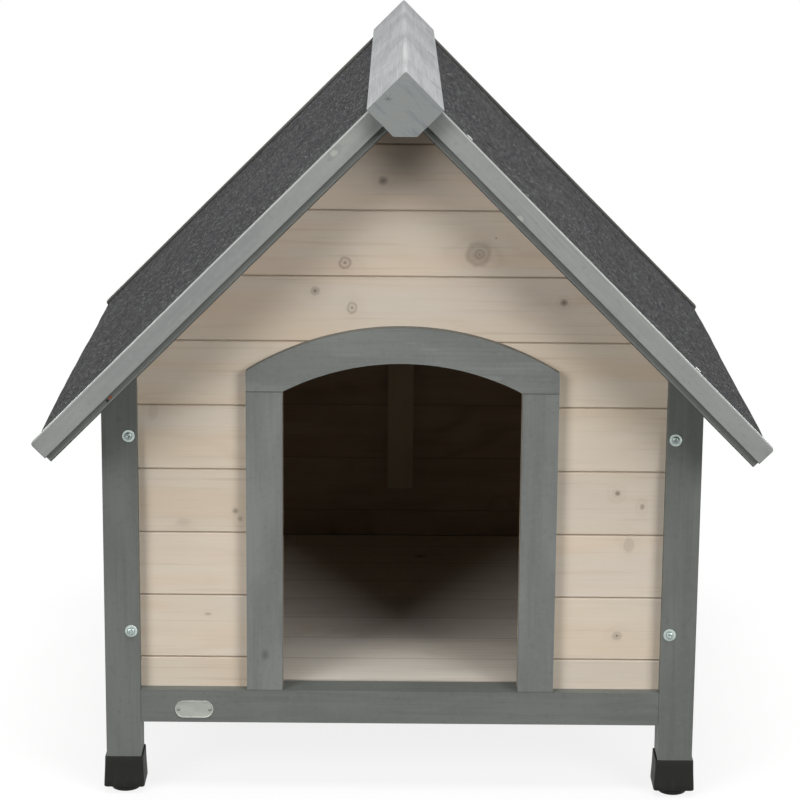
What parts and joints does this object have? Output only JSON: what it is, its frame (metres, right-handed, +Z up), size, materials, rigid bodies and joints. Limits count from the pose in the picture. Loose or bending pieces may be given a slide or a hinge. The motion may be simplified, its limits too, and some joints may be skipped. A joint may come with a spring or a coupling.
{
  "type": "dog house",
  "caption": "Gabled wooden dog house on four levelling feet, with tongue and groove walls, an arched doorway and a felted roof on a ridge beam.",
  "frame": {"origin": "on the floor, under the middle of the whole house", "axes": "+X right as seen from the front, the front faces -Y, +Z up"},
  "size_m": [0.773, 0.824, 0.813],
  "materials": {
    "grey_frame_wood": "satin grey glaze",
    "barge_wood": "satin grey glaze, lighter",
    "ridge_beam_wood": "satin grey glaze, worn arrises",
    "pale_board_wood": "whitewashed pine, matt",
    "floor_wood": "whitewashed pine, matt",
    "batten_wood": "whitewashed pine, matt",
    "roof_plank_wood": "whitewashed pine, matt",
    "roofing_felt": "mineral granules on bitumen felt",
    "foot_plastic": "moulded",
    "glide_plastic": "moulded",
    "zinc_screw": "zinc plated",
    "zinc_washer": "zinc plated",
    "bare_plate": "brushed, bare",
    "plate_nail": "plain"
  },
  "bodies": {
    "house": {"barge_front_left": "barge_wood", "barge_front_right": "barge_wood", "barge_rear_left": "barge_wood", "barge_rear_right": "barge_wood", "bottom_rail_left": "grey_frame_wood", "bottom_rail_right": "grey_frame_wood", "door_arch": "grey_frame_wood", "door_jamb_left": "grey_frame_wood", "door_jamb_right": "grey_frame_wood", "floor_boards": "floor_wood", "floor_cleats": "batten_wood", "foot_front_left": "foot_plastic", "foot_front_right": "foot_plastic", "foot_rear_left": "foot_plastic", "foot_rear_right": "foot_plastic", "front_board_01": "pale_board_wood", "front_board_02": "pale_board_wood", "front_board_03": "pale_board_wood", "front_board_04": "pale_board_wood", "front_board_05": "pale_board_wood", "front_board_06": "pale_board_wood", "front_board_07": "pale_board_wood", "front_board_08": "pale_board_wood", "front_board_09": "pale_board_wood", "front_board_10": "pale_board_wood", "front_gable_batten": "batten_wood", "front_sill": "grey_frame_wood", "left_wall_boards": "pale_board_wood", "plate_nails": "plate_nail", "post_front_left": "grey_frame_wood", "post_front_right": "grey_frame_wood", "post_rear_left": "grey_frame_wood", "post_rear_right": "grey_frame_wood", "post_screws": "zinc_screw", "post_washers": "zinc_washer", "rafter_front_left": "grey_frame_wood", "rafter_front_right": "grey_frame_wood", "rafter_rear_left": "grey_frame_wood", "rafter_rear_right": "grey_frame_wood", "rear_batten": "batten_wood", "rear_sill": "grey_frame_wood", "rear_wall_boards": "pale_board_wood", "ridge_beam": "ridge_beam_wood", "right_wall_boards": "pale_board_wood", "roof_felt_left": "roofing_felt", "roof_felt_right": "roofing_felt", "roof_planks_left": "roof_plank_wood", "roof_planks_right": "roof_plank_wood", "sill_plate": "bare_plate", "top_rail_left": "grey_frame_wood", "top_rail_right": "grey_frame_wood"},
    "glide_front_left_screw": {"glide_front_left": "glide_plastic"},
    "glide_front_right_screw": {"glide_front_right": "glide_plastic"},
    "glide_rear_left_screw": {"glide_rear_left": "glide_plastic"},
    "glide_rear_right_screw": {"glide_rear_right": "glide_plastic"}
  },
  "joints": [
    {"name": "glide_front_left_height", "type": "slide", "parent": "house", "child": "glide_front_left_screw", "axis": [0, 0, 1], "range_m": [-0.012, 0]},
    {"name": "glide_front_right_height", "type": "slide", "parent": "house", "child": "glide_front_right_screw", "axis": [0, 0, 1], "range_m": [-0.012, 0]},
    {"name": "glide_rear_left_height", "type": "slide", "parent": "house", "child": "glide_rear_left_screw", "axis": [0, 0, 1], "range_m": [-0.012, 0]},
    {"name": "glide_rear_right_height", "type": "slide", "parent": "house", "child": "glide_rear_right_screw", "axis": [0, 0, 1], "range_m": [-0.012, 0]}
  ]
}
